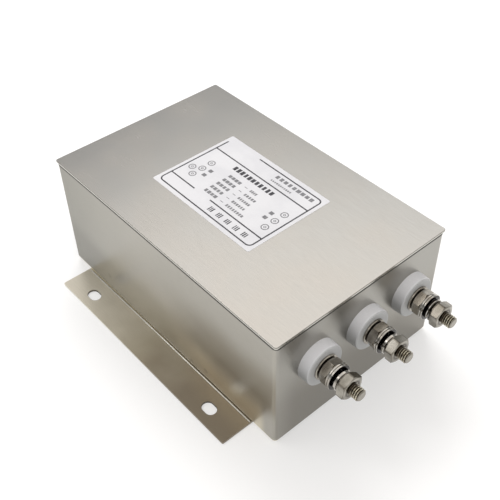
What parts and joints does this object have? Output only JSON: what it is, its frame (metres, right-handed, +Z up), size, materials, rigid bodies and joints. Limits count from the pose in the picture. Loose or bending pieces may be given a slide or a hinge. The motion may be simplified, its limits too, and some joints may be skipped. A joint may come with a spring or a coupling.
{
  "type": "three-phase line filter",
  "caption": "Mains line filter in a folded steel case on a slotted mounting plate, with threaded stud terminals in white bushings at both ends.",
  "frame": {"origin": "under the middle of the object, on the plane of the mounting plate's underside", "axes": "+X along the case towards the load end, +Y across the case, +Z up from the mounting plate to the lid"},
  "size_m": [0.291, 0.185, 0.0917],
  "materials": {
    "case_metal": "satin",
    "plate_metal": "satin",
    "lid_metal": "satin",
    "nickel_hardware": "bright",
    "stud_metal": "nickel plated",
    "nylon": "natural white",
    "label_film": "satin",
    "tray_metal": "zinc",
    "liner_sheet": "matte",
    "core_metal": "dark",
    "core_case": "black",
    "divider_plastic": "matte",
    "enamelled_copper": "enamelled",
    "board_laminate": "matte",
    "capacitor_yellow": "gloss",
    "capacitor_blue": "gloss",
    "resistor_ceramic": "matte",
    "lead_insulation": "matte",
    "tinned_copper": "tinned"
  },
  "bodies": {
    "root": {"bleed_resistors": "resistor_ceramic", "board_screws": "nickel_hardware", "board_spacers": "nylon", "case_body": "case_metal", "choke_bolt": "nickel_hardware", "choke_bracket_screws": "nickel_hardware", "choke_brackets": "tray_metal", "choke_case_cover": "core_case", "choke_case_trough": "core_case", "choke_core": "core_metal", "choke_divider": "divider_plastic", "choke_nut": "nickel_hardware", "choke_winding_1": "enamelled_copper", "choke_winding_2": "enamelled_copper", "choke_winding_3": "enamelled_copper", "earth_nuts": "nickel_hardware", "earth_spring_washer": "nickel_hardware", "earth_stud": "stud_metal", "earth_washers": "nickel_hardware", "inner_nuts": "nickel_hardware", "inner_tray": "tray_metal", "inner_washers": "nickel_hardware", "insulating_liner": "liner_sheet", "lid": "lid_metal", "line_bushing_1": "nylon", "line_bushing_2": "nylon", "line_bushing_3": "nylon", "line_capacitor_board": "board_laminate", "line_flat_washers": "nickel_hardware", "line_inner_bushings": "nylon", "line_leads": "lead_insulation", "line_lock_nuts": "nickel_hardware", "line_lugs": "tinned_copper", "line_seat_washers": "nickel_hardware", "line_spring_washers": "nickel_hardware", "line_stud_1": "stud_metal", "line_stud_2": "stud_metal", "line_stud_3": "stud_metal", "line_terminal_nuts": "nickel_hardware", "line_x_capacitors": "capacitor_yellow", "load_bushing_1": "nylon", "load_bushing_2": "nylon", "load_bushing_3": "nylon", "load_capacitor_board": "board_laminate", "load_flat_washers": "nickel_hardware", "load_inner_bushings": "nylon", "load_leads": "lead_insulation", "load_lock_nuts": "nickel_hardware", "load_lugs": "tinned_copper", "load_seat_washers": "nickel_hardware", "load_spring_washers": "nickel_hardware", "load_stud_1": "stud_metal", "load_stud_2": "stud_metal", "load_stud_3": "stud_metal", "load_terminal_nuts": "nickel_hardware", "load_x_capacitors": "capacitor_yellow", "mounting_plate": "plate_metal", "rating_label": "label_film", "y_capacitors": "capacitor_blue"}
  },
  "joints": []
}
